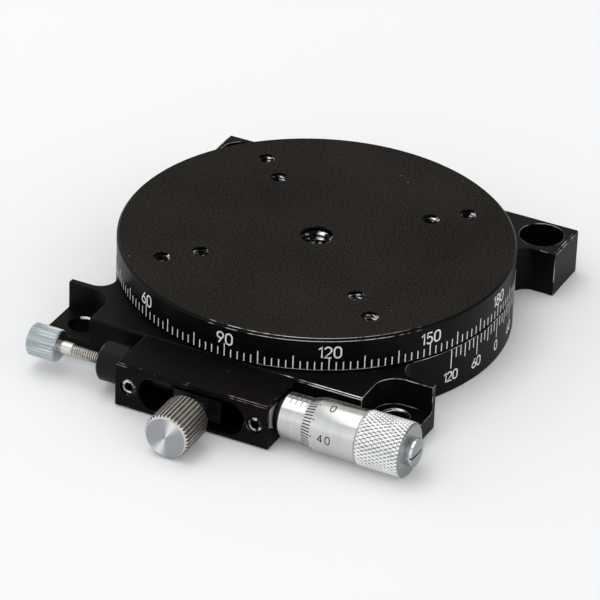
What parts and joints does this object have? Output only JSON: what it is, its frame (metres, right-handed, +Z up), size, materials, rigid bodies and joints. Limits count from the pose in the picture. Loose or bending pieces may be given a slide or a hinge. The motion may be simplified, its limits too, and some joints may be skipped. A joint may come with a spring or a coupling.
{
  "type": "rotation stage",
  "caption": "Manual rotation stage: round table with dial on a square base, ball bearing inside, tangent arm clamp and micrometer fine adjustment.",
  "frame": {"origin": "centre of the base's underside, on the table's axis", "axes": "+Z up along the table's axis, +X along the micrometer head, -Y towards the adjuster block and clamp knob"},
  "size_m": [0.0742, 0.091, 0.015],
  "materials": {
    "black_anodised": "satin black anodised",
    "bearing_steel": "ground",
    "dark_steel": "blackened steel",
    "screw_steel": "satin",
    "ball_steel": "polished",
    "cage_brass": "satin brass",
    "table_anodised": "fine matt black anodised",
    "drum_steel": "turned",
    "arm_steel": "blackened steel",
    "pin_steel": "hardened, polished",
    "knob_steel": "turned, grooved",
    "block_anodised": "satin black anodised",
    "set_screw_steel": "blackened steel",
    "satin_chrome": "satin chrome",
    "cap_chrome": "polished chrome",
    "housing_anodised": "satin black anodised",
    "spring_steel": "drawn wire",
    "lock_steel": "nickel-plated"
  },
  "bodies": {
    "base": {"base_body": "black_anodised", "adjuster_block": "block_anodised", "block_screws": "screw_steel", "set_screws": "set_screw_steel", "micrometer_sleeve": "satin_chrome", "sleeve_nut": "screw_steel", "spring_housing": "housing_anodised", "bearing_outer_ring": "bearing_steel", "bearing_cover": "dark_steel", "bearing_cover_screws": "screw_steel", "plunger_spring": "spring_steel"},
    "cage": {"ball_cage": "cage_brass", "bearing_balls": "ball_steel"},
    "arm": {"tangent_arm": "arm_steel", "anvil_pin": "pin_steel"},
    "clamp": {"clamp_screw": "screw_steel", "clamp_shoe": "cage_brass"},
    "clamp_grip": {"clamp_knob": "knob_steel"},
    "table": {"rotary_table": "table_anodised", "clamp_drum": "drum_steel", "drum_screws": "screw_steel", "bearing_inner_ring": "bearing_steel", "hub_plate": "dark_steel", "hub_screws": "screw_steel"},
    "spindle": {"micrometer_spindle": "pin_steel"},
    "thimble": {"micrometer_thimble": "satin_chrome", "thimble_cap": "cap_chrome"},
    "plunger": {"spring_plunger": "pin_steel"},
    "lock": {"lock_screw": "lock_steel"},
    "lock_grip": {"lock_knob": "lock_steel"}
  },
  "joints": [
    {"name": "spindle_feed", "type": "slide", "parent": "base", "child": "spindle", "axis": [1, 0, 0], "range_m": [-0.00325, 0.00325]},
    {"name": "thimble_turn", "type": "hinge", "parent": "spindle", "child": "thimble", "pos_m": [0.02, -0.0404, 0.005], "axis": [1, 0, 0], "range_deg": [-2341, 2341]},
    {"name": "fine_turn", "type": "hinge", "parent": "base", "child": "arm", "pos_m": [0, 0, 0.0042], "axis": [0, 0, 1], "range_deg": [-4.65, 4.65]},
    {"name": "plunger_slide", "type": "slide", "parent": "base", "child": "plunger", "axis": [1, 0, 0], "range_m": [-0.00326, 0.00326], "deforming": ["plunger_spring"]},
    {"name": "table_turn", "type": "hinge", "parent": "arm", "child": "table", "pos_m": [0, 0, 0.01], "axis": [0, 0, 1], "continuous": true},
    {"name": "cage_turn", "type": "hinge", "parent": "base", "child": "cage", "pos_m": [0, 0, 0.0051], "axis": [0, 0, 1], "continuous": true},
    {"name": "clamp_feed", "type": "slide", "parent": "arm", "child": "clamp", "axis": [0, -1, 0], "range_m": [0, 0.001]},
    {"name": "clamp_knob_turn", "type": "hinge", "parent": "clamp", "child": "clamp_grip", "pos_m": [0, -0.05, 0.0042], "axis": [0, -1, 0], "range_deg": [0, 721]},
    {"name": "lock_feed", "type": "slide", "parent": "base", "child": "lock", "axis": [1, 0, 0], "range_m": [0, 0.0045]},
    {"name": "lock_knob_turn", "type": "hinge", "parent": "lock", "child": "lock_grip", "pos_m": [-0.03, -0.0404, 0.005], "axis": [1, 0, 0], "range_deg": [0, 3602]}
  ],
  "couplings": [
    {"joint": "thimble_turn", "follows": "spindle_feed", "rad_per_m": 12566},
    {"joint": "plunger_slide", "follows": "spindle_feed", "ratio": 1},
    {"joint": "fine_turn", "follows": "spindle_feed", "rad_per_m": 24.753},
    {"joint": "cage_turn", "follows": "table_turn", "ratio": 0.446},
    {"joint": "clamp_knob_turn", "follows": "clamp_feed", "rad_per_m": 12566},
    {"joint": "lock_knob_turn", "follows": "lock_feed", "rad_per_m": 13963}
  ]
}
